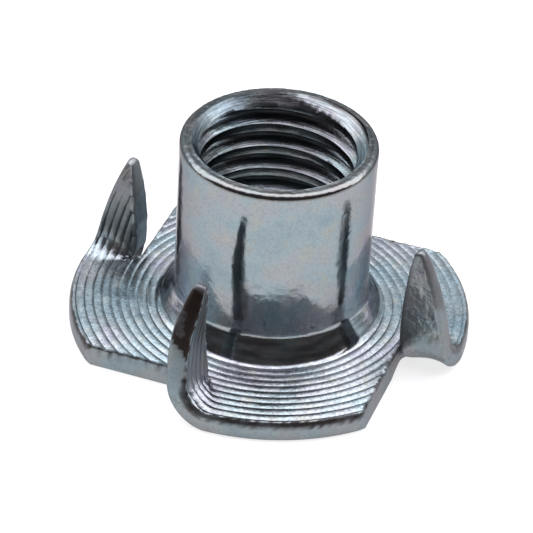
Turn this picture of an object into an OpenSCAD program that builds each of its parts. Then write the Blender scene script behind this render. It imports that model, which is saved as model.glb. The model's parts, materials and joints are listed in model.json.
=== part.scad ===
// Four-prong tee nut, M10 x 12.
// One sheet blank: the barrel is drawn up from its middle and threaded, rings
// are coined into the upper face, and four slits let a prong stand up beside
// each lobe of the flange. The origin is on the bore's axis, on the underside.

/* [Barrel] */
// Outside diameter of the barrel
barrel_d = 11; // [10.6:0.1:11]
// Height from the flange's underside to the barrel's mouth
overall_h = 12; // [11:0.5:16]
// Smooth bore that the thread is cut from
bore_d = 8.6; // [8.4:0.1:8.8]
// Diameter of the countersink at the mouth
mouth_d = 9.7; // [9.4:0.1:10]
// Rounding of the lip's outer edge
lip_r = 0.3; // [0.1:0.05:0.5]
// Rounding of the bore where it enters the underside
entry_r = 1.5; // [1:0.1:1.8]
// Width of the flared foot from the barrel out to the flange
foot_w = 0.8; // [0.6:0.05:0.8]
// Height of the flared foot above the flange
foot_h = 1.35; // [1:0.05:1.6]
// Rounding where the barrel runs into its foot
foot_top_r = 1; // [0.4:0.1:1.4]
// Rounding where the foot runs out onto the flange
foot_end_r = 0.2; // [0.1:0.05:0.2]

/* [Flange] */
// Diameter of the round blank
flange_d = 22.8; // [22:0.2:24]
// Thickness of the sheet
sheet_t = 1.2; // [1:0.1:1.4]
// Diameter of the innermost groove between the coined rings
first_groove_d = 13; // [13:0.2:14]
// Distance from one groove to the next
groove_pitch = 0.5; // [0.4:0.05:0.6]
// Depth of the grooves
groove_depth = 0.08; // [0.04:0.01:0.12]
// Rounding of the rim's edges
rim_r = 0.18; // [0.1:0.02:0.3]
// Distance of each slit from the axis
slit_offset = 8.25; // [8:0.05:8.3]
// Turn of each slit away from square to its prong, in degrees
slit_turn = 7; // [4:0.5:9]
// Rounding of the lobes' corners
lobe_corner_r = 0.7; // [0.3:0.1:1.2]
// Rounding at the blind end of a slit, where it hooks out under the prong
slit_end_r = 0.8; // [0.7:0.1:1]
// Where a slit ends, across from its prong's middle plane
slit_end_y = 0.5; // [0.4:0.1:0.7]

/* [Prongs] */
// Inside radius of the bend at a prong's foot
bend_r = 1; // [0.6:0.1:1.4]
// Distance from the axis at which a prong's inner edge, drawn on, meets the underside
prong_in = 8.1; // [8:0.05:8.5]
// Lean of the inner edge away from the barrel, in degrees
prong_lean = 5.5; // [3:0.5:7]
// Radius of the curve that narrows a prong at its foot
prong_foot_r = 2.8; // [2.4:0.2:3.2]
// Height at which that curve leaves the inner edge
prong_foot_h = 2.5; // [2.2:0.1:2.8]
// Widest reach of the outer edge's curve
prong_out = 11.45; // [11.35:0.05:11.7]
// Radius of the outer edge's curve
prong_edge_r = 22; // [18:1:26]
// Depth of that curve's centre below the underside
prong_edge_drop = 2.1; // [1.5:0.1:2.5]
// Rounding of a prong's tip
prong_tip_r = 0.25; // [0.25:0.05:0.5]
// Thickness that a prong tapers to at its tip
prong_tip_t = 0.6; // [0.4:0.1:0.9]
// Length of that taper
prong_taper = 1; // [0.5:0.1:1.5]
// Height above the underside about which the rings turn on a prong
prong_ring_z = 0.7; // [0:0.1:1.3]

/* [Hidden] */
$fn = 96;

prong_count = 4;
barrel_r = barrel_d / 2;
bore_r = bore_d / 2;
mouth_r = mouth_d / 2;
flange_r = flange_d / 2;
first_groove_r = first_groove_d / 2;
groove_w = 0.14;                                 // width of a groove
bend_outer_r = bend_r + sheet_t;
bend_start_y = sheet_t / 2 + bend_r;             // where a lobe ends and its bend begins
bend_end_z = bend_outer_r;                       // where the bend ends and the blade begins
foot_out = sqrt(pow(flange_r, 2) - pow(bend_start_y, 2));
foot_lean = atan(foot_w / foot_h);               // of the barrel's foot, from upright
far = 20;                                        // reach of cutters beyond the part
arc_steps = 6;                                   // straight steps in a rounded profile corner
rim_steps = 3;                                   // the same at the rim

// Points of an arc of radius r about c, from angle a0 to a1.
function arc(c, r, a0, a1, steps = arc_steps) =
    [for (i = [0:steps]) let (a = a0 + (a1 - a0) * i / steps)
        [c[0] + r * cos(a), c[1] + r * sin(a)]];

// Points of a round of radius r in the bend at p, going down. The sides of the
// bend lie at a0 and a1 degrees from upright.
function fillet(p, a0, a1, r) =
    let (side = r * tan((a1 - a0) / 2),
         c = p + side * [-sin(a0), cos(a0)] + r * [cos(a0), sin(a0)])
    arc(c, r, 180 + a0, 180 + a1);

function groove_r(i) = first_groove_r + i * groove_pitch;

// Upper face across the grooves from number i0 to i1, as points [radius, height].
function ringed_face(i0, i1, top) =
    [for (i = [i0:i1], p = [[-1, 0], [-1, -groove_depth], [1, -groove_depth], [1, 0]])
        [groove_r(i) + p[0] * groove_w / 2, top + p[1]]];

// Number of the last groove inside radius r.
function last_groove(r) = floor((r - first_groove_r - groove_w) / groove_pitch);

// Section of the barrel and the flange, right of the axis.
module nut_section() {
    polygon(concat(
        arc([bore_r + entry_r, entry_r], entry_r, 270, 180),
        [[bore_r, overall_h - (mouth_r - bore_r)], [mouth_r, overall_h]],
        arc([barrel_r - lip_r, overall_h - lip_r], lip_r, 90, 0),
        fillet([barrel_r, sheet_t + foot_h], 0, foot_lean, foot_top_r),
        fillet([barrel_r + foot_w, sheet_t], foot_lean, 90, foot_end_r),
        ringed_face(0, last_groove(flange_r - rim_r), sheet_t),
        arc([flange_r - rim_r, sheet_t - rim_r], rim_r, 90, 0, rim_steps),
        arc([flange_r - rim_r, rim_r], rim_r, 0, -90, rim_steps)));
}

// What a round of radius r at c leaves outside it in a corner whose sides it
// touches in the directions u and v.
module corner_waste(c, r, u, v) {
    reach = 1.3 * r;
    difference() {
        polygon([c, c + reach * u, c + reach * (u + v) / (1 + u * v), c + reach * v]);
        translate(c) circle(r);
    }
}

// Centre of a round of radius r that touches both sides of the corner at p. u and
// v point from it to where it touches them.
function corner_centre(p, r, u, v) = p - r * (u + v) / (1 + u * v);

// What is cut away beside the prong on the X axis: the strip outside its slit.
module prong_window() {
    out = [cos(slit_turn), sin(slit_turn)];      // square to the slit
    along = [sin(slit_turn), -cos(slit_turn)];   // clockwise along the slit
    root = slit_offset * out + (slit_end_y - slit_offset * out[1]) / along[1] * along;
    heel = [foot_out, bend_start_y];             // where the bend leaves the rim
    rise = (heel - root) / norm(heel - root);
    up = [-rise[1], rise[0]];                    // square to the slit's hooked end
    in = slit_offset - lobe_corner_r;            // the corner's round touches the slit
    corner = in * out + sqrt(pow(flange_r - lobe_corner_r, 2) - in * in) * along;
    translate([0, 0, -1]) linear_extrude(sheet_t + 2) {
        difference() {
            polygon([root, root + far * along, root + far * along + far * out,
                     [far, bend_start_y], heel]);
            corner_waste(corner_centre(root, slit_end_r, -out, up), slit_end_r, -out, up);
        }
        corner_waste(corner, lobe_corner_r, out, corner / norm(corner));
    }
}

// Centre of the round at a prong's tip, as [radius, height]: it touches the inner
// edge, which runs along up with out square to it, and the outer edge's curve.
function tip_centre(up, out, edge_c) =
    let (start = [prong_in, 0] + prong_tip_r * out,
         toward = up * (start - edge_c),
         gap = (start - edge_c) * (start - edge_c) - pow(prong_edge_r - prong_tip_r, 2))
    start + (sqrt(toward * toward - gap) - toward) * up;

prong_up = [sin(prong_lean), cos(prong_lean)];
prong_square = [cos(prong_lean), -sin(prong_lean)];
edge_c = [prong_out - prong_edge_r, -prong_edge_drop];
tip_c = tip_centre(prong_up, prong_square, edge_c);

// Outline of a prong in its own upright plane, as [radius, height].
module prong_outline() {
    inner = [prong_in, 0];
    foot_c = inner + prong_foot_h * prong_up + prong_foot_r * prong_square;
    foot_end = [-sqrt(pow(prong_foot_r, 2) - pow(foot_c[1], 2)), -foot_c[1]] / prong_foot_r;
    difference() {
        intersection() {
            polygon([inner, inner + far * prong_up, [foot_out, far], [foot_out, 0]]);
            translate(edge_c) circle(prong_edge_r, $fn = 360);
        }
        corner_waste(tip_c, prong_tip_r, -prong_square, (tip_c - edge_c) / norm(tip_c - edge_c));
        corner_waste(foot_c, prong_foot_r, -prong_square, foot_end);
    }
}

// Space for a blade, seen along the X axis: it narrows evenly towards the tip.
module blade_space() {
    top = tip_c[1] + prong_tip_r;
    wide = sheet_t / 2 + 1;
    narrow = prong_tip_t / 2;
    low = top - prong_taper * (wide - narrow) / (sheet_t / 2 - narrow);
    rotate([90, 0, 90]) linear_extrude(far)
        polygon([[-wide, bend_end_z], [-wide, low], [-narrow, top], [narrow, top],
                 [wide, low], [wide, bend_end_z]]);
}

// The quarter turn of sheet between a lobe and its blade, along the X axis.
module prong_bend() {
    inner = bend_r + groove_depth / 2;
    translate([0, bend_start_y, bend_end_z]) rotate([0, 90, 0])
        rotate_extrude(angle = -90)
            polygon([[inner, prong_in - 1], [bend_outer_r, prong_in - 1],
                     [bend_outer_r, flange_r + 1], [inner, flange_r + 1]]);
}

// A ringed plate standing on edge: the same rings, turned up with the sheet.
module prong_plate() {
    i1 = last_groove(flange_r - rim_r);
    translate([0, -sheet_t / 2, prong_ring_z]) rotate([-90, 0, 0])
        rotate_extrude() polygon(concat(
            [[first_groove_r - groove_w / 2, 0]], ringed_face(0, i1, sheet_t),
            [[flange_r + 1, sheet_t], [flange_r + 1, 0]]));
}

// One prong, standing on the X axis with its face towards +Y.
module prong() {
    intersection() {
        union() {
            prong_bend();
            intersection() {
                prong_plate();
                blade_space();
            }
        }
        translate([0, far / 2, 0]) rotate([90, 0, 0]) linear_extrude(far) prong_outline();
    }
}

module tee_nut() {
    color("#a9b3ba") {
        difference() {
            rotate_extrude() nut_section();
            for (k = [0:prong_count - 1]) rotate(k * 360 / prong_count) prong_window();
        }
        for (k = [0:prong_count - 1]) rotate(k * 360 / prong_count) prong();
    }
}

tee_nut();
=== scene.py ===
# %% [markdown]
# # A tee nut, made the way the press makes it
#
# A tee nut starts as a round of sheet steel. The press draws a barrel up from its middle,
# coins rings into its face, cuts four hooked slits and turns the strip outside each slit
# up into a prong. Then the barrel is threaded and the nut is plated with zinc. This
# lesson follows that order: first the flat round with its rings and slits, and then the
# fold.

# %% Load the frame
import json
import math

import bmesh
import bpy
import numpy as np
from mathutils import Matrix, Vector


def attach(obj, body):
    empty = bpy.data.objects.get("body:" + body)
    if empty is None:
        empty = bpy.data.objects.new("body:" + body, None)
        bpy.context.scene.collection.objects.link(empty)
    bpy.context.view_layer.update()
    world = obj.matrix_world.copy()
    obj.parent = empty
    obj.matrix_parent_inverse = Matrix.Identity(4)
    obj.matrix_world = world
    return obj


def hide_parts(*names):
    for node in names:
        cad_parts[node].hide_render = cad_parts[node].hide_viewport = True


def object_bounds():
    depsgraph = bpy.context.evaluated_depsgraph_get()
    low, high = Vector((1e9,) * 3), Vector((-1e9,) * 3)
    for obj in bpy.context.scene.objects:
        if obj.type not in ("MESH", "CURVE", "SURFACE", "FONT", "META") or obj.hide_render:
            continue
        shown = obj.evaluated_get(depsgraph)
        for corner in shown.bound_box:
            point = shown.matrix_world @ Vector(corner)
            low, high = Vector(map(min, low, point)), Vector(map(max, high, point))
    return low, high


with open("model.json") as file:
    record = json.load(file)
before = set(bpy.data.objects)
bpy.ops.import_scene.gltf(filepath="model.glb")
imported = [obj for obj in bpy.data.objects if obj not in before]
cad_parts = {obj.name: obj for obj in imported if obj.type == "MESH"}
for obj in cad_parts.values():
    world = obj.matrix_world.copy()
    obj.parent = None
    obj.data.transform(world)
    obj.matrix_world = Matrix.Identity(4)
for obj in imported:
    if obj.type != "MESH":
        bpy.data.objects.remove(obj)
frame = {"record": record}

cad_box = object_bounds()
print("frame:", [round(v * 1000, 2) for v in cad_box[1] - cad_box[0]], "mm")

# %% [markdown]
# ## Sizes
#
# The height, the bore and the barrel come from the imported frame, and the rest are the
# sheet's own sizes. All is worked out in millimetres and turned to metres once, when the
# mesh is made, because round numbers are easier to check.

# %% Sizes in millimetres
MM = 0.001
MOUNT = {m["name"]: m["dims"] for m in frame["record"]["mounts"]}
HEIGHT = cad_box[1].z / MM
BARREL_R = MOUNT["barrel"]["r_mm"]
CREST_R = MOUNT["thread"]["r_mm"]  # the thread's crests

SHEET_T = 1.2
FLANGE_R = 11.4
FIRST_GROOVE_R = 6.5  # radius of the innermost groove
RING_PITCH = 0.5
RINGS = 10
EDGE_IN = 0.2  # a wall's top row lies this far in from its edge

SLIT_R = 8.25  # distance of a slit from the axis
SLIT_TURN = math.radians(7)
SLIT_END_Y = 0.5  # where it ends, across from the prong's middle
SLIT_TIP_R = 0.05  # rounding of its very end
HOOK_R = 0.8  # rounding of its hooked part
KERF = 0.16  # width of the cut
FOOT_R = 2.2  # curve that narrows a prong at its foot
CORNER_R = 0.7  # rounding of a lobe's corner
TIP_R = 0.3  # rounding of a prong's tip
HEEL = np.array([11.287, 1.6])  # where the bend leaves the rim

PRONGS = 4  # one in each quarter
COLUMNS = 72  # columns of the mesh in each quarter
QUARTER = math.pi / 2
NEAR = 5e-4  # equal radii, once rounded, differ by less
print("sheet", SHEET_T, "flange", 2 * FLANGE_R, "barrel", 2 * BARREL_R, "high", round(HEIGHT, 2))

# %% [markdown]
# ## The slit's outline, in the flat
#
# The punch cuts each slit as a straight line with a small hook at its end. A Boolean
# could cut out a drawn curve, but would cut the coined rings into slivers. Here each
# quarter of the sheet is a grid of circles and spokes about the axis, and a slit is
# wherever a circle has to stop. Every edge is a line or an arc, so the angle at which a
# circle meets it has a formula.

# %% Directions, and where two circles meet
OUT = np.array([math.cos(SLIT_TURN), math.sin(SLIT_TURN)])  # square to the slit
ALONG = np.array([OUT[1], -OUT[0]])  # clockwise along it


def length(v):
    return float(np.hypot(*v))


def unit(v):
    return v / np.hypot(*v)


def angle_of(v):
    return math.atan2(v[1], v[0])


def circles_meet(c1, r1, c2, r2):
    """Where two circles meet, to the left of the way from the first to the second."""
    d = length(c2 - c1)
    a = (r1 ** 2 - r2 ** 2 + d ** 2) / (2 * d)
    u = (c2 - c1) / d
    return c1 + a * u + math.sqrt(r1 ** 2 - a ** 2) * np.array([-u[1], u[0]])


print("the slit beside the first prong runs along", ALONG.round(3))


# %% The hook, the prong's foot, and the corners
root = SLIT_R * OUT + (SLIT_END_Y - SLIT_R * OUT[1]) / ALONG[1] * ALONG  # slit meets hook
rise = unit(HEEL - root)
over = np.array([-rise[1], rise[0]])
HOOK_C = root - HOOK_R * (over - OUT) / (1 - over @ OUT)

foot_d = KERF + FOOT_R
hook_end = HOOK_C + (HOOK_R - KERF) * over
foot_gap = foot_d - (hook_end @ OUT - SLIT_R)
FOOT_C = (SLIT_R + foot_d) * OUT + (
    hook_end @ ALONG + math.sqrt(FOOT_R ** 2 - foot_gap ** 2)) * ALONG

SLIT_TIP = circles_meet(HOOK_C, HOOK_R - SLIT_TIP_R, FOOT_C, FOOT_R + SLIT_TIP_R)
JOIN = SLIT_TIP + (SLIT_TIP_R + EDGE_IN) * unit(SLIT_TIP)  # here sheet and prong join
CORNER_C = (SLIT_R - CORNER_R) * OUT + math.sqrt(
    (FLANGE_R - CORNER_R) ** 2 - (SLIT_R - CORNER_R) ** 2) * ALONG
tip_d = SLIT_R + KERF + TIP_R
TIP_C = tip_d * OUT + math.sqrt((FLANGE_R - TIP_R) ** 2 - tip_d ** 2) * ALONG
TIP_Y = TIP_C[1] - TIP_R
print("slit ends at", SLIT_TIP.round(2), "prong ends at y", round(TIP_Y, 2))

# %% [markdown]
# ## Edges
#
# The circles meet lines that run inside the real edges, by EDGE_IN, so that a rounded
# wall can hang from them later. An edge is a list of pieces, each with an outward
# direction, and a circle meets the first piece that reaches as far out as it does.

# %% Radii at which an edge changes from one piece to the next
R_HOOK = length(HOOK_C) - HOOK_R - EDGE_IN
R_SLIT = length(HOOK_C - (HOOK_R + EDGE_IN) * OUT)
R_CORNER = length(CORNER_C + (CORNER_R - EDGE_IN) * OUT)
R_HOOK_END = length(HOOK_C + (HOOK_R + EDGE_IN) * unit(SLIT_TIP - HOOK_C))
R_JOIN = length(JOIN)
R_FOOT = length(FOOT_C) - FOOT_R + EDGE_IN
R_FOOT_TOP = length(FOOT_C - (FOOT_R - EDGE_IN) * OUT)
R_FOOT_END = length(FOOT_C + (FOOT_R - EDGE_IN) * unit(SLIT_TIP - FOOT_C))
R_TIP = length(TIP_C - (TIP_R - EDGE_IN) * OUT)
R_RIM = FLANGE_R - EDGE_IN


def at(r, angle):
    """Points at a distance r from the axis and an angle."""
    return np.stack([r * np.cos(angle), r * np.sin(angle)], -1)


def arc(r, reach, centre, radius, side, sign):
    """A piece of edge along an arc: its reach, the angles at which the circles r meet
    it, by the law of cosines, and its outward directions. Its sign is 1 where the
    metal is inside the arc, and -1 where the arc goes round a gap."""
    c = length(centre)
    inner = radius - sign * EDGE_IN
    cosine = (r * r + c * c - inner * inner) / (2 * r * c)
    angle = angle_of(centre) + side * np.arccos(np.clip(cosine, -1, 1))
    v = sign * (at(r, angle) - centre)
    return reach, angle, v / np.maximum(np.linalg.norm(v, axis=-1, keepdims=True), 1e-9)


def straight(r, reach, normal, distance, outward):
    """The same along a line at a distance from the axis, by one arccos."""
    angle = angle_of(normal) - np.arccos(np.clip(distance / r, -1, 1))
    return reach, angle, np.broadcast_to(outward, (len(r), 2))


def pick(r, *pieces):
    """Angle and direction on the first piece whose reach each circle is within."""
    angle, facing = pieces[-1][1:]
    for reach, a, f in reversed(pieces[:-1]):
        inside = r <= reach + 1e-9
        angle = np.where(inside, a, angle)
        facing = np.where(inside[:, None], f, facing)
    return angle, np.array(facing)


# %% [markdown]
# ### Which line each circle meets
#
# A lobe starts at the hook, runs along the seam with its prong and ends at the next slit.
# A prong starts at its foot and ends at the slit's outer side. The two share the seam, so
# its formula is written once.

# %% The edges of a lobe and of a prong
def seam(r, outward):
    """Where a lobe's sheet runs on into its prong: the line from JOIN to HEEL."""
    n = unit(HEEL - JOIN)
    n = np.array([-n[1], n[0]])
    return straight(r, R_RIM, n, JOIN @ n, outward)


def lobe_start(r):
    return pick(r, arc(r, R_HOOK_END, HOOK_C, HOOK_R, 1, -1),
                arc(r, R_JOIN, SLIT_TIP, SLIT_TIP_R, 1, -1), seam(r, OUT))


def lobe_end(r):
    return pick(r, arc(r, R_SLIT, HOOK_C, HOOK_R, -1, -1),
                straight(r, R_CORNER, OUT, SLIT_R - EDGE_IN, OUT),
                arc(r, R_RIM, CORNER_C, CORNER_R, 1, 1))


def prong_start(r):
    return pick(r, arc(r, R_FOOT_END, FOOT_C, FOOT_R, 1, 1),
                arc(r, R_JOIN, SLIT_TIP, SLIT_TIP_R, -1, -1), seam(r, -OUT))


def prong_end(r):
    return pick(r, arc(r, R_FOOT_TOP, FOOT_C, FOOT_R, -1, 1),
                straight(r, R_TIP, OUT, SLIT_R + KERF + EDGE_IN, -OUT),
                arc(r, R_RIM, TIP_C, TIP_R, -1, 1))


print("edges change at radii", [round(r, 2) for r in (R_HOOK, R_SLIT, R_JOIN, R_CORNER, R_TIP)])

# %% [markdown]
# ## Circles and spokes
#
# The circles crowd at the rings' grooves and where an edge changes from line to arc. The
# spokes are evenly spaced and run on up the barrel, so that each part of the mesh meets
# its neighbour point for point and one weld can close it.

# %% The radii of the circles and the angles of the spokes
FLARE_W, FLARE_H = 0.8, 1.35  # the barrel's flared foot
FLARE_TOP_R, FLARE_END_R = 1.0, 0.34  # roundings at its top and at its end
flare_lean = math.atan(FLARE_W / FLARE_H)
R_FLARE = BARREL_R + FLARE_W + FLARE_END_R * math.tan((QUARTER - flare_lean) / 2)

ring_stops = np.array([0, 0.07, 0.16, 0.33, 0.5, 0.67, 0.84, 0.93])  # across a land
rings = FIRST_GROOVE_R + RING_PITCH * (np.arange(RINGS)[:, None] + ring_stops)
ease = np.array([0, 0.004, 0.016, 0.04, 0.08])  # closer circles where arcs are steep
turns = np.concatenate([
    [R_FLARE, R_SLIT, R_CORNER, R_HOOK_END, R_FOOT_TOP, R_FOOT_END, R_TIP],
    R_HOOK + ease, R_JOIN - ease, R_FOOT + ease, R_RIM - ease])
radii = np.unique(np.round(np.concatenate([rings.ravel(), turns]), 4))
radii = radii[(radii >= R_FLARE - NEAR) & (radii <= R_RIM + NEAR)]

spoke_0 = angle_of(HOOK_C)
spokes = spoke_0 + np.linspace(0, QUARTER, COLUMNS + 1)
all_spokes = spoke_0 + np.linspace(0, 2 * math.pi, PRONGS * COLUMNS + 1)
print(len(radii), "circles and", PRONGS * COLUMNS, "spokes")

# %% [markdown]
# ## Unevenness
#
# Nothing on a pressed part is quite even. A noise texture could only shade that, so the
# mesh itself moves, by a mean of sine waves along seeded directions, which is smooth and
# comes out the same each time. Torn metal is the positive part of two sizes of it.

# %% Ripple, torn edges and a straight step
def between(value, zero_at, one_at):
    """0 up to zero_at, 1 from one_at on, and a straight line between the two."""
    return np.clip((value - zero_at) / (one_at - zero_at), 0, 1)


def ripple(points, wavelength, seed, waves=9):
    """Smooth unevenness of about -1 to 1: a mean of sines along seeded directions."""
    g = np.random.default_rng(seed)
    k = g.normal(size=(waves, points.shape[-1]))
    k = k / np.linalg.norm(k, axis=1, keepdims=True) * 2 * math.pi / wavelength
    k = k * g.uniform(0.6, 1.5, (waves, 1))
    phase = g.uniform(0, 2 * math.pi, waves)
    return np.sin(points @ k.T + phase).mean(-1) * 2


def crumble(points, size, seed):
    """Torn, uneven height from 0 to 1: the positive part of two sizes of ripple."""
    coarse = ripple(points, size * 2.6, seed, 14)
    fine = ripple(points, size, seed + 50, 18)
    return np.clip(0.25 + 0.5 * coarse + 0.55 * fine, 0, 1)


# %% [markdown]
# ## Relief on the flat sheet
#
# The die coins rings into the sheet: crowned lands with narrow grooves between them. The
# height falls off with a power of the distance from a land's top, which lies nearer its
# inner side. The die came down askew, so the rings are deeper on one side. They could be
# modelled on the bent nut, but cut into the flat sheet they fold up with it and run on up
# each prong. Where the face is bent, it crinkles.

# %% Height of the ringed face
RING_DEPTH = 0.046
RING_POWER = 2.0
RING_SKEW = 0.72  # below 1, the tops of the lands lie nearer the axis
ASKEW = np.array([0.3, -0.75])  # direction and amount of the deeper side
# unevenness of the depth: share, wavelength, seed and number of waves
RING_UNEVEN = (0.25, 2.3, 3, 9)  # from ring to ring
SPOT_UNEVEN = [(0.3, 3.1, 11, 9), (0.2, 0.4, 13, 14)]  # from place to place
FACE_UNEVEN = (0.008, 2.2, 5, 9)  # of the face itself, in mm
RING_FADE = 0.9  # the rings die out this near a prong's tip
RING_MORE = [-0.02, -0.01, 0.06, -0.03]  # depth that each prong adds to its rings
MORE_FROM = 0.5  # below this flat y
CRINKLE, CRINKLE_SIZE = 0.06, 0.24  # of the crinkles across the bend
BEND_Y, BEND_WIDE = 0.1, 0.55  # where they lie in the flat sheet
HOLD = 8.75, 8.93  # the disc holds the sheet flat up to here, and lets go by here


def on_sheet(x, y, k):
    """Where a point of quarter k lies on the whole round."""
    c, s = [(1, 0), (0, 1), (-1, 0), (0, -1)][k % PRONGS]
    return np.stack([c * x - s * y, s * x + c * y], -1)


def past_disc(x):
    """0 where the disc holds the sheet flat, 1 out beyond it."""
    return between(x, *HOLD)


def up_prong(y, run=1.0):
    """0 as far as the bend, rising to 1 a distance run up the prong."""
    return np.clip((-y - BEND_WIDE) / run, 0, 1)


def uneven(points, share, *wave):
    return share * ripple(points, *wave)


def ring_relief(x, y, k, extra=0.0):
    """Height above the sheet's face: minus a power of the distance from a land's top.
    k is the quarter, so that the unevenness runs on from one lobe to the next."""
    place = on_sheet(x, y, k)
    r = np.hypot(x, y)
    v = 2 * (((r - FIRST_GROOVE_R) / RING_PITCH) % 1) ** RING_SKEW - 1
    depth = 1 + place @ ASKEW / FLANGE_R + uneven(np.stack([r, r], -1), *RING_UNEVEN)
    for kind in SPOT_UNEVEN:
        depth = depth + uneven(place, *kind)
    depth = (RING_DEPTH + extra) * depth
    return uneven(place, *FACE_UNEVEN) - depth * abs(v) ** RING_POWER


def face_relief(x, y, k):
    """The rings, which change up a prong and die out at its tip, and the crinkles,
    which fall off either side of the bend as a bell curve does."""
    blade = np.maximum(up_prong(y), past_disc(x) * np.clip(MORE_FROM - y, 0, 1))
    left = np.clip((y - TIP_Y) / RING_FADE, 0, 1)
    bend = past_disc(x) * np.exp(-((y - BEND_Y) / BEND_WIDE) ** 2)
    crinkles = CRINKLE * (crumble(on_sheet(x, y, k), CRINKLE_SIZE, 33) - 0.3) * bend
    return ring_relief(x, y, k, RING_MORE[k] * blade) * left + crinkles


print("a land is", round(RING_PITCH, 2), "mm wide and up to", RING_DEPTH, "mm high")

# %% [markdown]
# ## The fold
#
# The strip outside a slit turns up about a line across its foot. A bend modifier turns
# all points about one axis at one radius, but a real bend is tight at the slit, where the
# sheet is held, and wide at the rim. So the fold is a formula: a point at a distance s
# past its own fold line goes round an arc, and beyond the arc's length straight up, where
# it also leans in. Each prong was struck a little differently, so each has its own lean
# and bow.

# %% Fold a flat point
FOLD_IN, FOLD_SPAN = 8.4, 2.9  # the bend widens from here over this width
FOLD_TIGHT, FOLD_WIDE, FOLD_DROP = 0.8, 1.12, 0.3
FOLD_FULL, FOLD_BACK = 0.7, 0.75  # parts of it at which it is widest, comes back
BLADE_Z0 = 1.29  # height of the rings' centre on a standing prong
BLADE_SETTLE = -2.5  # below this flat y, the blade is stretched evenly
BLADE_H = 5.5  # height of the straight part of a prong
LEAN_RUN = 7.0  # length of sheet over which it leans in to its most
FOLD_POWER = BELLY_SKEW = 1.3  # the skew moves a belly up its prong
BOW_POWER = BELLY_POWER = 1.5
# no two prongs stand alike: right, back, left and front
LEAN = [0.45, 0.4, 0.3, 0.45]  # how far a prong's inner edge leans in
NARROW = [0.17, 0.2, 0.27, 0.17]  # and how much more its outer edge does
STRETCH = [1.065, 1.03, 0.985, 1.065]
TIP_BACK = [0.0, 0.2, 0.45, 0.0]  # how far its tip is bowed back from its lobe
TIP_OUT = [0.0, 0.0, 0.3, 0.0]  # and out from the barrel
BELLY = [0.0, 0.0, 0.0, 0.4]  # how far its middle is bowed back


def fold_start(x):
    """Distance of the fold line from the prong's middle plane. It grows as a power
    of a quarter sine wave, and comes back a little at the rim."""
    u = np.clip((x - FOLD_IN) / FOLD_SPAN, 0, 1)
    wider = np.sin(QUARTER * np.minimum(u / FOLD_FULL, 1)) ** FOLD_POWER
    back = between(u, FOLD_BACK, 1)
    return FOLD_TIGHT + FOLD_WIDE * wider - FOLD_DROP * back ** 2


def fold(x, y, z, hold, k):
    """Flat sheet to folded sheet: s along the arc, then straight up by climb. hold
    is 0 where the disc keeps the sheet flat. The bow grows as a power of the climb,
    and the belly as a power of a half sine wave."""
    line = fold_start(x)
    outer = line + SHEET_T / 2
    s = np.maximum(line - y, 0) * hold
    turn = np.minimum(s / line, QUARTER)
    reach = outer - z
    blade_end = line - line * QUARTER
    settle = (BLADE_Z0 - BLADE_SETTLE) * STRETCH[k]
    climb = between(y, blade_end, BLADE_SETTLE) * (settle - outer)
    climb = climb + np.maximum(BLADE_SETTLE - y, 0) * STRETCH[k]
    climb = np.where(hold > 1 - NEAR, climb, 0)
    lean = np.sin(QUARTER * s / LEAN_RUN) * (
        LEAN[k] + NARROW[k] * np.clip((x - FOLD_IN) / FOLD_SPAN, 0, 1))
    bow = (np.maximum(climb, 0) / BLADE_H) ** BOW_POWER
    run = np.clip(s / (line - TIP_Y), 0, 1)
    back = TIP_BACK[k] * bow + BELLY[k] * np.sin(math.pi * run ** BELLY_SKEW) ** BELLY_POWER
    new_y = np.where(s > 0, line - reach * np.sin(turn) - np.maximum(line - y - s, 0), y)
    new_z = np.where(s > 0, outer - reach * np.cos(turn) + climb, z)
    return np.stack([x - lean + TIP_OUT[k] * bow, new_y - back, new_z], -1)


def hold_of(x, y):
    """0 where the disc keeps the sheet flat, 1 where the fold may lift it."""
    return np.where(y > fold_start(x), 1.0, past_disc(x))


print("a prong's tip stands at", fold(TIP_C[0], TIP_Y, SHEET_T / 2, 1.0, 3).round(2))

# %% [markdown]
# ## Collecting the mesh
#
# Every surface is a grid of points, and at the end one weld joins the grids along their
# shared edges. Each point also keeps two numbers for the finish: grime_and_shade is how
# much grime has rubbed into the metal there, and on the prongs' ringed faces how much
# painted shade darkens them, and beaten how much the punch has beaten it.

# %% Keep grids and flat outlines
verts, marks, quads, ngons = [], [], [], []
count = 0


def add_grid(points, grime_and_shade=0.0, beaten=0.0):
    """Adds a grid of points, rows by columns by 3, as quads."""
    global count
    rows, cols = points.shape[:2]
    index = count + np.arange(rows * cols).reshape(rows, cols)
    verts.append(points.reshape(-1, 3))
    marks.append(np.stack([np.broadcast_to(m, (rows, cols)).ravel() for m in (grime_and_shade, beaten)]))
    corners = index[:-1, :-1], index[1:, :-1], index[1:, 1:], index[:-1, 1:]
    quads.append(np.stack(corners, -1).reshape(-1, 4))
    count += rows * cols


def add_outline(points):
    """Adds one flat face with these points round it."""
    global count
    verts.append(points)
    marks.append(np.zeros((2, len(points))))
    ngons.append(list(range(count, count + len(points))))
    count += len(points)


def turned(points, k):
    """Points turned by k quarters about the axis."""
    flat = on_sheet(points[..., 0], points[..., 1], k)
    return np.concatenate([flat, points[..., 2:]], -1)


def add_quarters(surfaces):
    """Adds the surfaces, with their marks, that a function gives for each quarter."""
    for k in range(PRONGS):
        for points, *marked in surfaces(k):
            add_grid(turned(points, k), *marked)


# %% [markdown]
# ## The sheared wall
#
# Shears roll an edge over before they break it, so a cut edge has a wide soft shoulder
# where the punch went in, a plain wall and a small radius below. A bevel modifier would
# round both alike, so a profile is carried along the edge: a quarter ellipse, a straight
# wall and a quarter circle, with a torn burr on the shoulder. A slit's edge is crisper
# than the rim's and leans out where the sheet broke off, and up a prong its torn side
# swells out.

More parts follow.
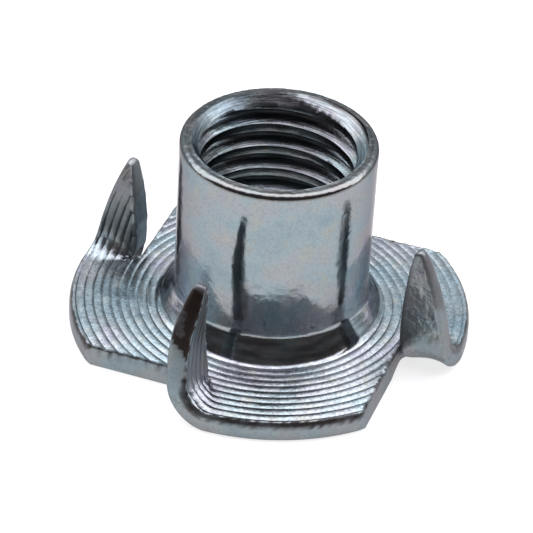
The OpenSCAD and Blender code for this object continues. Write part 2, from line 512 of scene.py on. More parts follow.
# %% Hang a wall along an edge
# these pairs are a slit's value and the rim's
ROUND = 0.07, 0.3  # how far in the shoulder reaches
DROP = 0.1, 0.55  # and how far down
UNDER = 0.03, 0.15  # height of the radius below
BURR = 0.126, 0.056  # height of the burr
BACK_UNDER = 0.35  # height of that radius along a standing prong's outer edge
BACK_RUN = 2.0  # reached this far up the prong
DROP_MOST, UNDER_MOST = 0.55, 0.3  # largest parts of the wall they may take
BURR_SIZE, BURR_FADE = 0.3, 0.4  # the burr's grain, and its loss from row to row
LEAN_FROM, LEAN_FULL = 0.05, 0.45  # a slit's wall starts to lean past its hook
SLIT_LEAN = 0.1  # how far it leans out
SHEAR_TEAR = [0.08, 0.08, 0.19, 0.06]  # how far each prong's slit side swells out
SWELL_RUN, SWELL_SKEW = 5.5, 0.6  # length of the swelling, and its skew
TORN_PART, TORN_SIZE, TORN_RUN = 0.4, 1.0, 0.8  # its torn part: share, grain, onset
WALL_STEPS = 5
UNDER_TURNS = np.radians([0, 35, 65])  # angles of the rows on the lower radius


def blend(pair, part):
    """From the pair's first value, at part 0, to its second, at part 1."""
    return pair[0] + (pair[1] - pair[0]) * part


def edge_wall(path, normal, low, high, part, hold, k, lean=0.0):
    """A wall hung along a path of flat points between two faces. Each row is a pair
    of arrays: how far in from the edge it lies, and its height. Returns the folded
    points, and how deep each lies in the sheet, from 0 to 1."""
    x, y = path.T
    place = on_sheet(x, y, k)
    wide = blend(ROUND, part)
    drop = np.minimum(blend(DROP, part), DROP_MOST * (high - low))
    under = blend(UNDER, part) + (BACK_UNDER - UNDER[1]) * up_prong(y, BACK_RUN) * part
    under = np.minimum(under, UNDER_MOST * (high - low))
    swell = np.sin(math.pi * up_prong(y, SWELL_RUN) ** SWELL_SKEW)
    swell = swell + TORN_PART * crumble(place, TORN_SIZE, 71) * up_prong(y, TORN_RUN)
    bulge = SHEAR_TEAR[k] * swell * (1 - part)
    torn = blend(BURR, part) * crumble(place, BURR_SIZE, 21)
    first = np.arccos(np.maximum(1 - EDGE_IN / wide, 0))
    rows = [(EDGE_IN + 0 * wide, high)]
    for i in range(1, WALL_STEPS):
        a = first * (1 - i / (WALL_STEPS - 1))
        burr = torn * max(0.0, 1 - BURR_FADE * (i - 1))
        z = high - drop * (np.sin(first) - np.sin(a)) + burr
        rows.append((wide * (1 - np.cos(a)) - bulge * i / WALL_STEPS, z))
    wall_top = high - drop * np.sin(first)
    rows.append((-bulge - lean / 2, (wall_top + low + under) / 2))
    for a in UNDER_TURNS:
        rows.append((EDGE_IN * (1 - math.cos(a)) - (bulge + lean) * math.cos(a),
                     low + under * (1 - math.sin(a))))
    rows.append((EDGE_IN + 0 * wide, low))
    moved = [path + (EDGE_IN - inset)[:, None] * normal for inset, _ in rows]
    points = [fold(*flat.T, z, hold, k) for flat, (_, z) in zip(moved, rows)]
    return np.stack(points), np.stack([(high - z) / (high - low) for _, z in rows])


# %% [markdown]
# ## The lobes of the flange
#
# Each quarter of the flange is the part of the grid between two slits. Where several
# circles meet at one point, as at the slit's hook, the angle and direction are set
# exactly, because a square root there is too sensitive for two surfaces to agree.

# %% A quarter of the flange, in the flat
start, start_out = lobe_start(radii)
end, end_out = lobe_end(radii)
end = end + QUARTER
at_join = np.argmin(abs(radii - R_JOIN))
at_hook = np.argmin(abs(radii - R_HOOK))
start[at_join] = angle_of(JOIN)
start_out[at_join] = -unit(SLIT_TIP)
start_out[at_hook] = end_out[at_hook] = unit(HOOK_C)
whole = radii < R_HOOK + NEAR  # circles that no slit cuts
free = radii > R_HOOK - NEAR
start = np.where(whole, spoke_0, start)
end = np.where(whole, spoke_0 + QUARTER, end)
lobe_angle = np.clip(spokes, start[:, None], end[:, None])
lobe_xy = np.moveaxis(at(radii[:, None], lobe_angle), -1, 0)

UNDER_SPOKE = 17  # the underside is a grid up to this spoke, and flat beyond
under_angle = np.clip(spokes[:UNDER_SPOKE], start[free, None], end[free, None])
under_flat = at(radii[free][:, None], under_angle)
under_xy = np.moveaxis(under_flat, -1, 0)
print("a lobe's face:", lobe_angle.shape, "points")

# %% [markdown]
# ### The walls of a lobe
#
# The end of a lobe, its rim and the hook are paths of flat points, and a wall hangs from
# each. The rim is sheared with a wide shoulder and the slit with a narrow one, and `part`
# blends one to the other.

# %% The edges of a lobe
end_path = at(radii[free], end[free])
end_normal = on_sheet(*end_out[free].T, 1)
rim_angle = np.clip(spokes, start[-1], end[-1])[::-1]
rim_path = at(R_RIM, rim_angle)
lobe_path = np.concatenate([end_path, rim_path])
lobe_normal = np.concatenate([end_normal, rim_path / R_RIM])
lobe_r = np.hypot(*lobe_path.T)
lobe_part = between(lobe_r, R_CORNER, R_RIM)
lobe_lean = between(lobe_r, R_SLIT + LEAN_FROM, R_SLIT + LEAN_FULL)
lobe_lean = SLIT_LEAN * (1 - lobe_part) * lobe_lean
hook_rows = free & (radii < R_JOIN + NEAR)
hook_path = at(radii[hook_rows], start[hook_rows])


RIM_WORN, WALL_DARKER = 0.75, 0.18  # how worn the rim's shoulder is, and how much darker brown every wall is
LOBE_GRIME = 0.1, 0.34  # depth in the sheet that the grime reaches, at slit and rim
GRIME_FADE, GRIME_SIZE = 0.12, 0.5  # depth over which it ends, size of its ripple
LOBE_RAGGED, PRONG_RAGGED = 0.08, 0.1  # how uneven its end is


def grime(depth, limit, ragged, place):
    """1 down to a ragged limit of the depth in the sheet, and 0 below it."""
    limit = limit + ragged * ripple(place, GRIME_SIZE, 91)
    return np.clip((limit - depth) / GRIME_FADE, 0, 1)


def lobe_wall(path, normal, part, k, lean=0.0):
    """A wall along one of the lobe's edges, with a worn shoulder."""
    x, y = path.T
    points, depth = edge_wall(path, normal, 0 * x, SHEET_T + face_relief(x, y, k), part,
                              hold_of(x, y), k, lean)
    grime_and_shade_amount = grime(depth, blend(LOBE_GRIME, part), LOBE_RAGGED, on_sheet(x, y, k))
    return points, WALL_DARKER + RIM_WORN * grime_and_shade_amount


def lobe(k):
    """The ringed face, the underside near the prong, and the two walls."""
    x, y = lobe_xy
    u, v = under_xy
    return [(fold(x, y, SHEET_T + face_relief(x, y, k), hold_of(x, y), k),),
            (fold(u, v, 0 * u, hold_of(u, v), k),),
            lobe_wall(lobe_path, lobe_normal, lobe_part, k, lobe_lean),
            lobe_wall(hook_path, start_out[hook_rows], np.zeros(hook_rows.sum()), k)]


add_quarters(lobe)
print("lobes:", count, "points")

# %% [markdown]
# ## The prongs
#
# A prong is the strip outside a slit: the same circles, cut by more spokes. Its two faces
# draw together towards the tip, where the punch has squeezed it, by a power of a quarter
# sine wave: slowly first and fast at the end.

# %% A prong, in the flat
PRONG_STEP = math.radians(0.9)  # angle between its spokes
TAPER_RUN, TAPER_T = 2.8, 0.5  # length of the taper, thickness at the tip
TAPER_POWER = 0.55

prong_r = radii[radii > R_FOOT - NEAR]
p_start, p_start_out = prong_start(prong_r)
p_end, p_end_out = prong_end(prong_r)
p_start[0] = p_end[0] = angle_of(FOOT_C)
p_start_out[0] = p_end_out[0] = -unit(FOOT_C)
at_join = np.argmin(abs(prong_r - R_JOIN))
p_start[at_join] = angle_of(JOIN)
p_start_out[at_join] = -unit(SLIT_TIP)
prong_spokes = np.arange(p_start.max() + PRONG_STEP, p_end.min() - PRONG_STEP, -PRONG_STEP)
prong_angle = np.clip(prong_spokes, p_end[:, None], p_start[:, None])
prong_xy = np.moveaxis(at(prong_r[:, None], prong_angle), -1, 0)
print("a prong's face:", prong_angle.shape, "points")

# %% [markdown]
# ### The walls of a prong
#
# One path runs down the slit's side, round the tip and along the outer edge, and a short
# one round the foot. The outer edge is bruised and brown: low down in a thin band beside
# the rings, and high up right across, as far as the bright tip. That grime is a mark on
# the wall's points, with an end that a ripple makes ragged. The same mark lies low on
# the ringed face near the foot, and there it is painted shade.

# %% The edges of a prong
in_foot = prong_r < R_JOIN + NEAR
foot_path = at(prong_r[in_foot], p_start[in_foot])
outer_angle = np.clip(prong_spokes, p_end[-1], p_start[-1])[::-1]
outer_edge = at(R_RIM, outer_angle)
prong_path = np.concatenate([at(prong_r, p_end), outer_edge])
prong_normal = np.concatenate([p_end_out, outer_edge / R_RIM])
prong_part = between(np.hypot(*prong_path.T), R_TIP, R_RIM)


def prong_levels(x, y, k):
    """Heights of the prong's two faces in the flat sheet."""
    near_tip = np.clip((y - TIP_Y) / TAPER_RUN, 0, 1)
    thin = (SHEET_T - TAPER_T) / 2 * (1 - np.sin(QUARTER * near_tip) ** TAPER_POWER)
    return thin, SHEET_T - thin + face_relief(x, y, k)


PRONG_WORN = [0.4, 0.4, 0.3, 1.0]  # how worn each prong's outer edge is
FACE_SHADE = [0.2, 0.2, 0.6, 0.1]  # painted shade on its ringed face, darkest low down near the foot
FACE_RUN = 4.0  # it fades this near the tip
PRONG_GRIME = 0.1, 1.07  # how deep the grime lies in its edge, low down and high up
FOOT_GRIME = 0.4  # and at its foot
SPREAD = -2.4, -3.2  # flat y between which it spreads right across
BRIGHT_TO, BRIGHT_FADE = 0.08, 0.3  # length of the bright tip, and of its end
BEATEN_RUN = 2.0  # the back is fully beaten this far up


def prong_wall(path, normal, part, k):
    """A wall along one of the prong's edges, grimy down to a depth that grows with
    the distance up the prong."""
    x, y = path.T
    low, high = prong_levels(x, y, k)
    points, depth = edge_wall(path, normal, low, high, part, 1.0, k)
    up = up_prong(y)
    limit = FOOT_GRIME * (1 - up) + up * blend(PRONG_GRIME, between(y, *SPREAD))
    grime_and_shade_amount = grime(depth, limit, PRONG_RAGGED * up, on_sheet(x, y, k))
    amount = RIM_WORN + (PRONG_WORN[k] - RIM_WORN) * up
    amount = amount * np.clip((y - TIP_Y - BRIGHT_TO) / BRIGHT_FADE, 0, 1)
    return points, WALL_DARKER + amount * part * grime_and_shade_amount


def prong(k):
    """The ringed face, the back, and the walls round the blade and at the foot."""
    x, y = prong_xy
    low, high = prong_levels(x, y, k)
    # painted shade: the ringed face is darker low down near the foot, and fades near the tip
    grime_and_shade_amount = FACE_SHADE[k] * up_prong(y) * np.clip((y - TIP_Y) / FACE_RUN, 0, 1)
    return [(fold(x, y, high, 1.0, k), grime_and_shade_amount),
            (fold(x, y, low, 1.0, k), 0.0, np.clip(-y / BEATEN_RUN, 0, 1)),
            prong_wall(prong_path, prong_normal, prong_part, k),
            prong_wall(foot_path, p_start_out[in_foot], np.zeros(in_foot.sum()), k)]


add_quarters(prong)
print("with prongs:", count, "points")

# %% [markdown]
# ## The flat underside
#
# The underside is plain sheet, so away from the bends one flat face for each quarter is
# enough. Its outline comes from the edges of its neighbours, so that it welds to them.

# %% Flat faces of the underside
ENTRY_R = 1.5  # rounding of the bore where it enters the underside
R_ENTRY = CREST_R + ENTRY_R
outline = np.concatenate([at(R_ENTRY, spokes), end_path, rim_path[: COLUMNS + 2 - UNDER_SPOKE],
                          under_flat[::-1, -1], under_flat[0, ::-1]])
step = np.linalg.norm(np.diff(outline, axis=0), axis=1)
outline = outline[np.concatenate([[True], step > 1e-6])]
for k in range(PRONGS):
    add_outline(turned(np.column_stack([outline, np.zeros(len(outline))]), k))
print("underside:", len(outline), "points in each outline")

# %% [markdown]
# ## The barrel
#
# The barrel is a surface of revolution: a profile of radius and height carried round the
# axis. Its foot flares out to the flange in a straight slope between two roundings.

# %% Profile of the lip, the wall and the flared foot
LIP_R = 0.3
LIP_TEAR = 0.06  # how far the lip's edge is torn down
LIP_OUT = 0.4  # part of that by which it is pushed out too
MOUTH_R = 4.85  # radius of the countersink at the mouth
LIP_STEPS, FLARE_STEPS = 7, 7


def bend_round(corner, lean_0, lean_1, radius, steps):
    """Points down a round of a radius in a bend whose sides lean by lean_0 and
    lean_1: its centre lies square off one side, as far along it as the radius
    times the tangent of half the turn."""
    side = radius * math.tan((lean_1 - lean_0) / 2)
    cx = corner[0] - side * math.sin(lean_0) + radius * math.cos(lean_0)
    cz = corner[1] + side * math.cos(lean_0) + radius * math.sin(lean_0)
    a = np.linspace(lean_0, lean_1, steps)
    return np.stack([cx - radius * np.cos(a), cz - radius * np.sin(a)], -1)


flare = np.concatenate([
    bend_round((BARREL_R, SHEET_T + FLARE_H), 0, flare_lean, FLARE_TOP_R, FLARE_STEPS),
    bend_round((BARREL_R + FLARE_W, SHEET_T), flare_lean, QUARTER, FLARE_END_R, FLARE_STEPS + 1)])
first_ring = ring_relief(*at(R_FLARE, all_spokes).T, 0)
print("the foot flares from", flare[0].round(2), "to", flare[-1].round(2))

# %% [markdown]
# ## The thread
#
# The thread is M10 x 1.5, right-handed. A helix with a profile carried along it would
# need cutting at the mouth. Instead the wall of the bore is one grid, whose radius is a
# formula of angle and height: a flat crest, two flanks and a narrow root. The countersink
# above and the rounding below are the largest of that radius and their own. The tap has
# torn the crests' edges.

# %% Radius of the threaded bore
PITCH = 1.5
MAJOR_R = 5.0
THREAD_START = math.radians(114.85)  # at this angle, a crest lies
THREAD_DOWN = 2.05  # this far below the mouth
CREST_HALF, ROOT_HALF = 0.15, 0.06  # half widths of crest and root, in pitches
FLANK_STRAIGHT = 0.65  # straight part of a flank's shape
TAP_TEAR, TEAR_HALF = 0.03, 0.06  # height of the torn edge, half width in pitches
FLAP = 0.16  # height of a torn flap in the countersink
FLAP_AZ, FLAP_HALF = math.radians(88), math.radians(30)
FLAP_LOW, FLAP_FADE = 0.7, 0.2  # how far down it reaches, and fades over


def on_wall(az, z, stretch):
    """Places on the bore's wall, stretched along its height."""
    az, z = np.broadcast_arrays(az, z)
    return np.stack([MAJOR_R * np.cos(az), MAJOR_R * np.sin(az), stretch * z], -1)


def thread_radius(az, z):
    """Radius of the thread: between crest and root, a blend of a straight flank and
    a smooth step of the distance from the crest's middle."""
    lead = (HEIGHT - THREAD_DOWN - z) / PITCH + (az - THREAD_START) / (2 * math.pi)
    u = lead % 1.0
    d = np.minimum(u, 1 - u)
    t = between(d, CREST_HALF, 0.5 - ROOT_HALF)
    t = (1 - FLANK_STRAIGHT) * t * t * (3 - 2 * t) + FLANK_STRAIGHT * t
    torn = TAP_TEAR * (crumble(on_wall(az, z, 2), 0.8, 41) - 0.35)
    torn = torn * np.exp(-((d - CREST_HALF) / TEAR_HALF) ** 2)
    return CREST_R + (MAJOR_R - CREST_R) * t + torn


def torn_flap(az, z):
    """How far the countersink is torn in: crumble, inside a window about FLAP_AZ."""
    window = between(np.cos(az - FLAP_AZ), math.cos(FLAP_HALF), 1) ** 0.5
    window = window * np.clip((z - HEIGHT + FLAP_LOW) / FLAP_FADE, 0, 1)
    return FLAP * window * (crumble(on_wall(az, z, 2.5), 0.35, 81) - 0.2)


def bore_radius(az, z):
    """The thread, cut by the countersink above and the entry's rounding below."""
    cone = MOUTH_R - (HEIGHT - z) - torn_flap(az, z)
    below = np.clip(ENTRY_R - z, 0, ENTRY_R)
    entry = R_ENTRY - np.sqrt(np.maximum(ENTRY_R ** 2 - below ** 2, 0))
    return np.maximum(np.maximum(thread_radius(az, z), cone), np.where(z < ENTRY_R, entry, 0))


print("thread: pitch", PITCH, "radius", CREST_R, "to", MAJOR_R)


# %% [markdown]
# ## The outside of the barrel
#
# A lathed profile would be round and smooth. Here each row of the profile is a ring of
# points, so that the rolled lip can be torn: crumble moves its points down and out, by an
# amount that changes round the lip.

# %% The lip, the wall and the flared foot
full = np.ones(len(all_spokes))
WALL_ROWS = 12


def torn_lip(across):
    """How far the lip is torn, at a distance across it from the mouth."""
    place = np.column_stack([at(BARREL_R, all_spokes), across * full])
    return LIP_TEAR * (crumble(place, 0.25, 61) - 0.3)


mouth = bore_radius(all_spokes, HEIGHT * full)
mouth[-1] = mouth[0]
rows = []
for m in (0, 0.25, 0.5, 0.75):  # the flat lip, from the mouth outwards
    rows.append((mouth * (1 - m) + (BARREL_R - LIP_R) * m,
                 HEIGHT - abs(torn_lip(m * LIP_R)) * (m > 0)))
for a in np.radians(np.linspace(90, 0, LIP_STEPS)):
    fade = math.sin(a) ** 0.5
    torn = torn_lip(LIP_R * (1 + QUARTER - a)) * fade
    rows.append((BARREL_R - LIP_R + LIP_R * math.cos(a) + torn * LIP_OUT * (a < QUARTER),
                 HEIGHT - LIP_R + LIP_R * math.sin(a) - abs(torn)))
for z in np.linspace(HEIGHT - LIP_R, flare[0, 1], WALL_ROWS + 2)[1:-1]:
    rows.append((BARREL_R * full, z * full))
for i, (r, z) in enumerate(flare):
    sink = max(0, (i - FLARE_STEPS) / FLARE_STEPS) ** 2
    rows.append((r * full, z + first_ring * sink))
add_grid(np.stack([np.column_stack([at(r, all_spokes), z]) for r, z in rows]))
print("barrel:", len(rows), "rows")

# %% [markdown]
# ## The wall of the bore
#
# The rows climb with the thread, so a crest stays on one row all the way round and comes
# out clean. They stop flat at the mouth and near the underside, where a rounded entry
# takes over.

# %% The wall of the bore and its rounded entry
STEPS = 12  # rows of the grid in each pitch
Z_LOW = 0.231  # height at which the thread's grid ends
ENTRY_STEPS = 9

turn_part = (all_spokes - all_spokes[0]) / (2 * math.pi)
crest_z = HEIGHT - THREAD_DOWN + PITCH * (all_spokes[0] - THREAD_START) / (2 * math.pi)
first_z = Z_LOW + (crest_z - Z_LOW) % (PITCH / STEPS)
row = np.arange(-STEPS - 1, int((HEIGHT - Z_LOW) / PITCH * STEPS) + STEPS + 1)
bore_z = np.clip(first_z + row[:, None] * PITCH / STEPS + PITCH * turn_part, Z_LOW, HEIGHT)
bore_r = bore_radius(all_spokes, bore_z)
add_grid(np.concatenate([at(bore_r, all_spokes), bore_z[..., None]], -1))

cut = bore_radius(all_spokes, Z_LOW * full)
part = np.linspace(0, 1, ENTRY_STEPS)[:, None]
entry_r = R_ENTRY + (cut - R_ENTRY) * part
entry_z = ENTRY_R - np.sqrt(np.maximum(ENTRY_R ** 2 - (R_ENTRY - entry_r) ** 2, 0))
entry_z[-1] = Z_LOW
add_grid(np.concatenate([at(entry_r, all_spokes), entry_z[..., None]], -1))
print("bore:", len(row), "rows from", Z_LOW, "to", round(HEIGHT, 2))

# %% [markdown]
# ## One closed piece
#
# Points in the same place become one, and then every edge should have exactly two faces:
# a count of the others tests that. Edges sharper than 40 degrees keep their crease, and
# the rest are shaded smooth.

# %% Weld and shade
WELD = 2e-7  # metres
CREASE = math.radians(40)

mesh = bpy.data.meshes.new("pressed_nut")
mesh.from_pydata((np.concatenate(verts) * MM).tolist(), [],
                 np.concatenate(quads).tolist() + ngons)
for name, values in zip(("grime_and_shade", "beaten"), np.concatenate(marks, 1).astype(np.float32)):
    mesh.attributes.new(name, "FLOAT", "POINT").data.foreach_set("value", values)
bm = bmesh.new()
bm.from_mesh(mesh)
bmesh.ops.remove_doubles(bm, verts=bm.verts, dist=WELD)
bmesh.ops.dissolve_degenerate(bm, edges=bm.edges, dist=WELD / 2)
bmesh.ops.recalc_face_normals(bm, faces=bm.faces)
open_edges = sum(len(e.link_faces) != 2 for e in bm.edges)
print("faces", len(bm.faces), "open edges", open_edges)
bm.to_mesh(mesh)
bm.free()
corners = np.zeros(len(mesh.polygons), int)
mesh.polygons.foreach_get("loop_total", corners)
mesh.polygons.foreach_set("use_smooth", corners <= 4)  # the underside stays flat
mesh.set_sharp_from_angle(angle=CREASE)

nut = bpy.data.objects.new("pressed_nut", mesh)
bpy.context.scene.collection.objects.link(nut)
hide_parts("tee_nut")
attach(nut, "root")

# %% [markdown]
# ## The finish: bright zinc plate
#
# Zinc from a plating barrel is a bluish, slightly hazy mirror with clouds of uneven
# chromate: patches of lilac, grey and straw a few millimetres wide, with specks a tenth
# of that. It is a metal, so its colour lies in its reflections, and its roughness is low
# but uneven. The pattern reads Object coordinates, so it stays on the metal from every
# side.

# %% One function for colours, one for nodes
def linear(hex_colour):
    """sRGB hex to linear RGBA."""
    c = np.array([int(hex_colour[i:i + 2], 16) for i in (1, 3, 5)]) / 255
    low, high = c / 12.92, ((c + 0.055) / 1.055) ** 2.4
    return (*np.where(c <= 0.04045, low, high).tolist(), 1.0)


def node(kind, inputs=(), stops=(), out=0, **settings):
    """Adds a ShaderNode of a kind to tree with its settings, links or sets its inputs,
    fills its ramp and returns the output that out names."""
    n = tree.nodes.new("ShaderNode" + kind)
    for name, value in settings.items():
        setattr(n, name, value)
    for socket, value in dict(inputs).items():
        if isinstance(value, bpy.types.NodeSocket):
            tree.links.new(value, n.inputs[socket])
        else:
            n.inputs[socket].default_value = value
    for i, (position, colour) in enumerate(stops):
        ramp = n.color_ramp.elements
        stop = ramp[i] if i < len(ramp) else ramp.new(position)
        stop.position, stop.color = position, linear(colour)
    return n.outputs[out] if n.outputs else None


zinc = bpy.data.materials.new("bright_zinc_plate")
zinc.use_nodes = True
tree = zinc.node_tree
tree.nodes.clear()
print("middle grey in linear light:", round(linear("#808080")[0], 3))

# %% [markdown]
# ### Where each kind of surface is
#
# The tools touched the nut in rings, so distance from the axis and height tell the
# surfaces apart. Each mask is a smooth step between two such values, and two masks
# multiplied give a band.

# %% Masks from radius and height
where = node("TexCoord", out="Object")
across = node("VectorMath", {0: where, 1: (1, 1, 0)}, operation="MULTIPLY")
radius = node("VectorMath", {0: across}, operation="LENGTH", out="Value")
level = node("SeparateXYZ", {0: where}, out="Z")

mask = {}
for name, value, zero_at, one_at in [
        ("coined", radius, 6.3, 6.6), ("past_barrel", radius, 5.5, 5.6),
        ("before_rings", radius, 6.6, 6.4), ("low", level, 2.9, 2.4),
        ("inside", radius, 5.3, 5.1), ("top", level, 11.6, 11.75),
        ("past_mouth", radius, 4.8, 4.95), ("past_slits", radius, 7.6, 8.0),
        ("standing", level, 1.3, 2.2), ("above_walls", level, 1.0, 1.12),
        ("below_bends", level, 1.6, 1.35)]:
    mask[name] = node("MapRange", {
        "Value": value, "From Min": zero_at * MM, "From Max": one_at * MM},
        interpolation_type="SMOOTHSTEP")
for name, a, b in [
        ("at_foot", "past_barrel", "before_rings"), ("foot", "at_foot", "low"),
        ("lip", "top", "past_mouth"), ("prongs", "past_slits", "standing"),
        ("at_face", "above_walls", "below_bends"), ("ringed", "coined", "at_face")]:
    mask[name] = node("Math", {0: mask[a], 1: mask[b]}, operation="MULTIPLY")
turned_part = node("Math", {0: mask["foot"], 1: mask["inside"]}, operation="MAXIMUM")
print("masks:", ", ".join(mask))

# %% [markdown]
# ### Clouds, stains, grain and turning marks
#
# Three sizes of noise make the clouds, the stains in them and the grain, and three more
# the pits, dents and hammer marks of the bump. Where a tool went round, in the bore and
# on the foot, the marks are long in the direction of the turning: the noise is squeezed
# across the sheet, and height and radius stay as they are.

# %% Noise at seven sizes, in millimetres
STREAK_SQUEEZE = 1 / 12
STREAK_SIZE = 0.13
noise = {}
for name, size, detail in [
        ("cloud", 2.6, 4.0), ("stain", 0.9, 6.0), ("grain", 0.16, 3.0), ("pits", 0.11, 2.0),
        ("dents", 1.6, 2.0), ("hammer", 0.8, 2.5)]:
    noise[name] = node("TexNoise", {
        "Vector": where, "Scale": 1 / (size * MM), "Detail": detail})
climb = node("Math", {0: radius, 1: level}, operation="ADD")
squeezed = node("VectorMath", {0: where, 1: (STREAK_SQUEEZE, STREAK_SQUEEZE, 0)},
                operation="MULTIPLY")
lifted = node("CombineXYZ", {"Z": climb})
round_and_up = node("VectorMath", {0: squeezed, 1: lifted}, operation="ADD")
noise["streaks"] = node("TexNoise", {
    "Vector": round_and_up, "Scale": 1 / (STREAK_SIZE * MM), "Detail": 3.0})
print("noise:", ", ".join(noise))

# %% [markdown]
# ### Colour
#
# The clouds run from a bluish grey to a warm and a lilac one, with straw in the stains.
# Grime on the worn edges is brown and no metal, so it lowers Metallic too; the same brown
# low on the prongs' ringed faces is painted shade. Where a tool went round, on the foot
# and in the bore, the colour is a little darker, for scratches too fine to draw. The
# inside of the bore is darker again, as painted shade, and every wall and the standing
# prongs are a little darker too.

# %% Colour
colour = node("ValToRGB", {0: noise["cloud"]}, stops=[
    (0.3, "#84949c"), (0.45, "#8f9ca1"), (0.58, "#979b9e"), (0.72, "#93949f")])
grime_and_shade = node("Attribute", out="Fac", attribute_name="grime_and_shade")
beaten = node("Attribute", out="Fac", attribute_name="beaten")
amount = {}
for name, value, from_min, from_max, to_min, to_max in [
        ("straw", noise["stain"], 0.56, 0.72, 0.0, 0.45),
        ("dull", noise["grain"], 0.3, 0.55, 0.86, 1.0),
        ("streaky", noise["streaks"], 0.35, 0.65, 0.6, 1.3),
        ("brown", mask["lip"], 0, 1, 0.0, 0.55),
        ("speckled", noise["grain"], 0.4, 0.58, 0.7, 1.0),
        # painted shade: the inside of the bore, countersink and thread, is darker
        ("shaded", mask["inside"], 0, 1, 1.0, 0.68),
        # the standing prongs are a little darker
        ("darker_prongs", mask["prongs"], 0, 1, 1.0, 0.92),
        ("rough", noise["stain"], 0.3, 0.7, 0.08, 0.18),
        ("grainy", mask["coined"], 0, 1, 0.0, 0.16),
        ("pitted", mask["coined"], 0, 1, 0.3, 1.0),
        ("scored", turned_part, 0, 1, 0.0, 1.0),
        ("hammered", beaten, 0, 1, 0.12, 1.0),
        ("stained", noise["stain"], 0.35, 0.55, 0.72, 1.0)]:
    amount[name] = node("MapRange", {
        "Value": value, "From Min": from_min, "From Max": from_max,
        "To Min": to_min, "To Max": to_max})
grime_and_shade_spots = node("Math", {0: grime_and_shade, 1: amount["stained"]}, operation="MULTIPLY")
plated = node("MapRange", {"Value": grime_and_shade_spots, "To Min": 1.0, "To Max": 0.2})
# the dark brown is grime on the edges, and painted shade low on the prongs' ringed faces
for factor, over_colour in [
        (amount["straw"], "#a29f92"), (amount["brown"], "#5c5249"), (grime_and_shade_spots, "#1f1613")]:
    colour = node("Mix", {0: factor, 6: colour, 7: linear(over_colour)},
                  data_type="RGBA", out=2)  # 6, 7 and output 2 are its colours
shade = node("Mix", {0: turned_part, 2: 1.0, 3: amount["streaky"]})
grain_marks = node("Mix", {0: mask["ringed"], 2: amount["dull"], 3: amount["speckled"]})
for factor in (grain_marks, amount["shaded"], amount["darker_prongs"]):
    shade = node("Math", {0: shade, 1: factor}, operation="MULTIPLY")
colour = node("VectorMath", {0: colour, "Scale": shade}, operation="SCALE")
print("colour:", ", ".join(amount))

# %% [markdown]
# ### Gloss and bump
#
# Bright zinc is rougher where it was coined and where the bending punch rubbed the
# prongs, and smoothest on the foot, which the drawing die burnished. Its grain and pits
# are hundredths of a millimetre wide, and are drawn a tenth wide, as coarse as they need
# to be to show.

# %% Gloss and bump
BURNISHED = 0.14  # roughness where the drawing die rubbed the foot
RUBBED = 0.36  # and where the bending punch rubbed the prongs
TAPPED = 0.26  # and in the bore, where the tap and the countersink cut
gloss = node("Math", {0: amount["rough"], 1: amount["grainy"]})
for part, roughness in (("foot", BURNISHED), ("prongs", RUBBED), ("inside", TAPPED)):
    gloss = node("Mix", {0: mask[part], 2: gloss, 3: roughness})
normal = {}  # each bump stands on the one before it
for name, strength, height in [
        ("pits", amount["pitted"], 0.011), ("streaks", amount["scored"], 0.012),
        ("dents", 0.5, 0.032), ("hammer", amount["hammered"], 0.16)]:
    normal = {"Normal": node("Bump", {
        "Height": noise[name], "Strength": strength, "Distance": height * MM, **normal})}
metal = node("BsdfPrincipled", {
    "Base Color": colour, "Metallic": plated, "Roughness": gloss, **normal,
    "Specular Tint": linear("#c4bdc0")})  # duller at a grazing look than chrome
node("OutputMaterial", {"Surface": metal})
nut.data.materials.append(zinc)
print("zinc plate:", len(tree.nodes), "nodes")

# %% [markdown]
# ## The camera
#
# The camera looks down on the nut from about 36 degrees, a little turned about its own
# view, and from far off, as a long lens does. One known point places it: the middle of
# the mouth falls on a chosen pixel, at a chosen number of pixels for each barrel radius.

# %% Camera
CAM_AZ, CAM_EL, CAM_ROLL = [math.radians(d) for d in (24.85, 35.94, 3.51)]
PICTURE = 533  # width and height of the picture, in pixels
MOUTH_PX = (279.7, 140.0)  # where the middle of the mouth falls
PX_PER_R = 100.31  # pixels to one barrel radius
CAM_AWAY = 30  # distance of the camera, in barrel radii

unit_r = BARREL_R * MM
stand = Matrix.Rotation(CAM_AZ, 3, "Z") @ Matrix.Rotation(QUARTER - CAM_EL, 3, "X")
stand = stand @ Matrix.Rotation(CAM_ROLL, 3, "Z")
aside = (PICTURE / 2 - MOUTH_PX[0]) / PX_PER_R * unit_r
below = (MOUTH_PX[1] - PICTURE / 2) / PX_PER_R * unit_r
eye = Vector((0, 0, HEIGHT * MM)) + stand @ Vector((aside, below, CAM_AWAY * unit_r))
lens = bpy.data.cameras.new("camera")
lens.lens = PX_PER_R * CAM_AWAY / PICTURE * lens.sensor_width
lens.clip_start = 0.01
lens.clip_end = 10
camera = bpy.data.objects.new("camera", lens)
camera.matrix_world = Matrix.Translation(eye) @ stand.to_4x4()
bpy.context.scene.collection.objects.link(camera)
bpy.context.scene.camera = camera
print("camera:", round(lens.lens), "mm lens,", round(CAM_AWAY * BARREL_R), "mm away")

# %% [markdown]
# ## Floor and light
#
# The nut stands on a small round of white board. Zinc shows what is round it, and a few
# area lamps would leave it black between them, so the light is a sky: as white as the
# board below the horizon, so that the board's edge doesn't show, then a dark room in
# front, a broad soft lamp overhead and a grey wall behind.

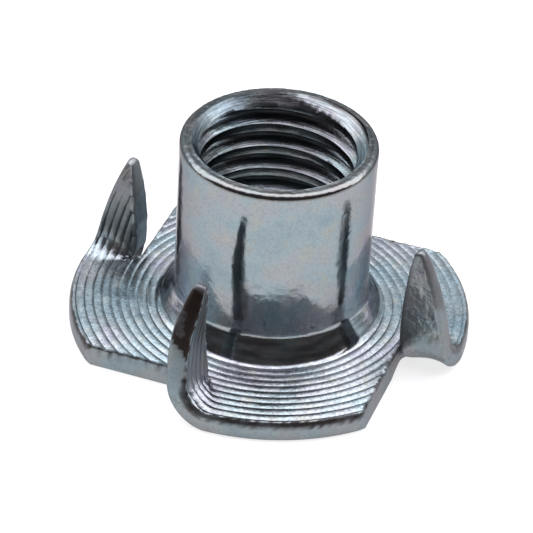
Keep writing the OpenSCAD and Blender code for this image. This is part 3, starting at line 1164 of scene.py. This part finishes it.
# %% The floor
FLOOR_R = 50 * MM
FLOOR_GAP = 0.02 * MM  # the floor lies this far under the nut
FLOOR_SIDES = 96
side_angle = np.linspace(0, 2 * math.pi, FLOOR_SIDES + 1)[:-1]
floor_edge = np.column_stack([at(FLOOR_R, side_angle), np.full(FLOOR_SIDES, -FLOOR_GAP)])
floor_mesh = bpy.data.meshes.new("floor")
floor_mesh.from_pydata(floor_edge.tolist(), [], [list(range(FLOOR_SIDES))])
floor = bpy.data.objects.new("floor", floor_mesh)
bpy.context.scene.collection.objects.link(floor)

board = bpy.data.materials.new("white_board")
board.use_nodes = True
tree = board.node_tree
tree.nodes.clear()
glow = node("Emission", {"Strength": 0.75})
matt = node("BsdfDiffuse", {"Color": (0.3, 0.3, 0.3, 1)})
both = node("AddShader", {0: glow, 1: matt})
node("OutputMaterial", {"Surface": both})
floor_mesh.materials.append(board)
print("floor:", round(2 * FLOOR_R / MM), "mm across")

# %% [markdown]
# ### The sky
#
# The sky's colours run along one ramp with one angle, phi, from the front horizon over
# the top to the back.

# %% The sky
LAMP = 3.9  # strength of the soft lamp
ROOM = [(0.0, "#2b2725"), (0.12, "#2c2b2c"), (0.25, "#2a2828"), (0.36, "#3f3b3d"),
        (0.46, "#e9e4ee"), (0.6, "#ffffff"), (0.7, "#f6f8ff"), (0.79, "#7a8186"),
        (1.0, "#727a7e")]  # colours against phi, as a part of half a turn
DIM_FROM, WHITE_FROM = -0.1, -0.19  # height of a direction below the horizon

world = bpy.data.worlds.new("studio")
bpy.context.scene.world = world
world.use_nodes = True
tree = world.node_tree
tree.nodes.clear()
sky = node("TexCoord", out="Generated")
faced = node("VectorRotate", {"Vector": sky, "Angle": -CAM_AZ}, rotation_type="Z_AXIS")
part = node("SeparateXYZ", {0: faced}).node.outputs
front = node("Math", {0: part["Y"], 1: -1.0}, operation="MULTIPLY")
phi = node("Math", {0: part["Z"], 1: front}, operation="ARCTAN2")
half_turns = node("Math", {0: phi, 1: math.pi}, operation="DIVIDE")
room = node("ValToRGB", {"Fac": half_turns}, stops=ROOM)
above = node("Background", {"Color": room, "Strength": LAMP})
white = node("Background", {"Color": (1, 1, 1, 1)})
up = node("MapRange", {"Value": part["Z"], "From Min": WHITE_FROM, "From Max": DIM_FROM})
light = node("MixShader", {"Fac": up, 1: white, 2: above})
node("OutputWorld", {"Surface": light})
bpy.context.scene.view_settings.view_transform = "Standard"
print("sky:", len(tree.nodes), "nodes")
